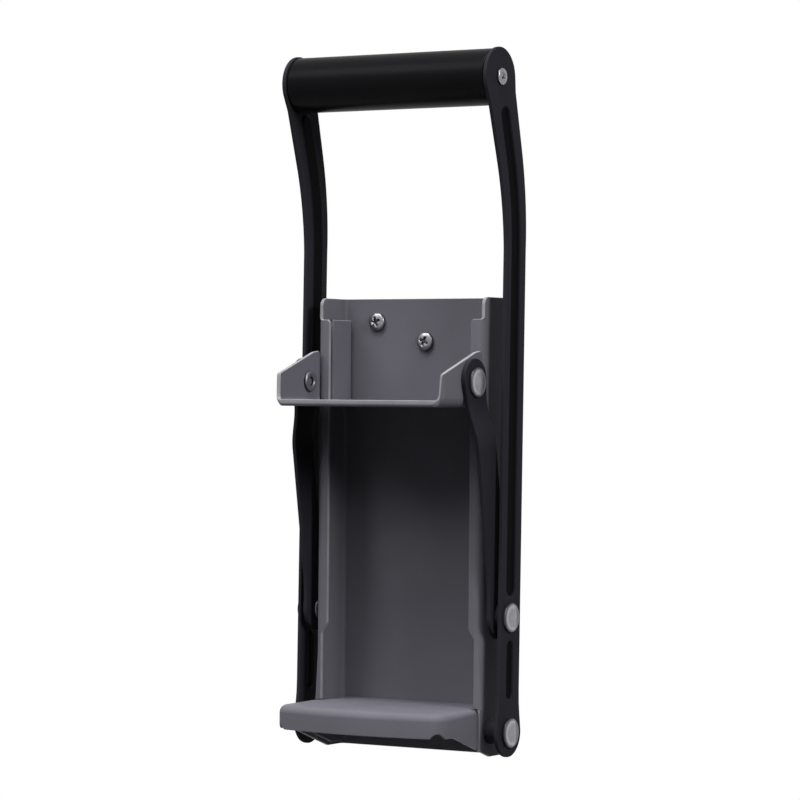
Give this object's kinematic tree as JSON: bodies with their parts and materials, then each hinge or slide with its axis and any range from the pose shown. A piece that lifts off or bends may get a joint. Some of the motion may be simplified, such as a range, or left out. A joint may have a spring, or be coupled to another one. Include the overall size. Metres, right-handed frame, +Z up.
{
  "type": "lever can crusher",
  "caption": "Wall-mounted lever can crusher: a lipped back channel with a shelf, a sliding crush plate, two links and a long two-arm lever with a round grip.",
  "frame": {"origin": "on the wall plane, in the middle of the channel's back face, level with the shelf's top face", "axes": "+X to the right as seen from the front, +Y into the wall, +Z up"},
  "size_m": [0.1286, 0.0945, 0.3628],
  "materials": {
    "frame_gray": "satin gray powder coat",
    "lever_black": "satin black powder coat",
    "grip_black": "satin moulded plastic",
    "rivet_zinc": "bright zinc-plated steel",
    "screw_zinc": "zinc-plated steel"
  },
  "bodies": {
    "frame": {"back_channel": "frame_gray", "base_shelf": "frame_gray", "wall_screw_upper": "screw_zinc", "wall_screw_lower": "screw_zinc", "pivot_rivet_left": "rivet_zinc", "pivot_rivet_right": "rivet_zinc", "pivot_spacer_left": "lever_black", "pivot_spacer_right": "lever_black"},
    "lever": {"lever_arm_left": "lever_black", "lever_arm_right": "lever_black", "crank_rivet_left": "rivet_zinc", "crank_rivet_right": "rivet_zinc", "crank_washer_left": "lever_black", "crank_washer_right": "lever_black", "grip_sleeve": "grip_black", "grip_tie_rod": "screw_zinc", "grip_screw_left": "screw_zinc", "grip_screw_right": "screw_zinc"},
    "plate": {"crush_plate": "frame_gray", "plate_rivet_tail_left": "rivet_zinc", "plate_rivet_tail_right": "rivet_zinc"},
    "link_left": {"link_left": "lever_black", "plate_rivet_head_left": "rivet_zinc"},
    "link_right": {"link_right": "lever_black", "plate_rivet_head_right": "rivet_zinc"}
  },
  "joints": [
    {"name": "lever_swing", "type": "hinge", "parent": "frame", "child": "lever", "pos_m": [0, -0.0165, -0.012], "axis": [1, 0, 0], "range_deg": [0, 169.5]},
    {"name": "plate_slide", "type": "slide", "parent": "frame", "child": "plate", "axis": [0, 0, -1], "range_m": [0, 0.11563]},
    {"name": "link_left_hinge", "type": "hinge", "parent": "lever", "child": "link_left", "pos_m": [-0.0555, -0.0165, 0.047], "axis": [1, 0, 0], "range_deg": [-174.6, 0]},
    {"name": "link_right_hinge", "type": "hinge", "parent": "lever", "child": "link_right", "pos_m": [0.0555, -0.0165, 0.047], "axis": [1, 0, 0], "range_deg": [-174.6, 0]}
  ],
  "couplings": [
    {"joint": "plate_slide", "follows": "lever_swing", "m_per_rad": 0.039084},
    {"joint": "link_left_hinge", "follows": "lever_swing", "ratio": -1.03},
    {"joint": "link_right_hinge", "follows": "lever_swing", "ratio": -1.03}
  ]
}
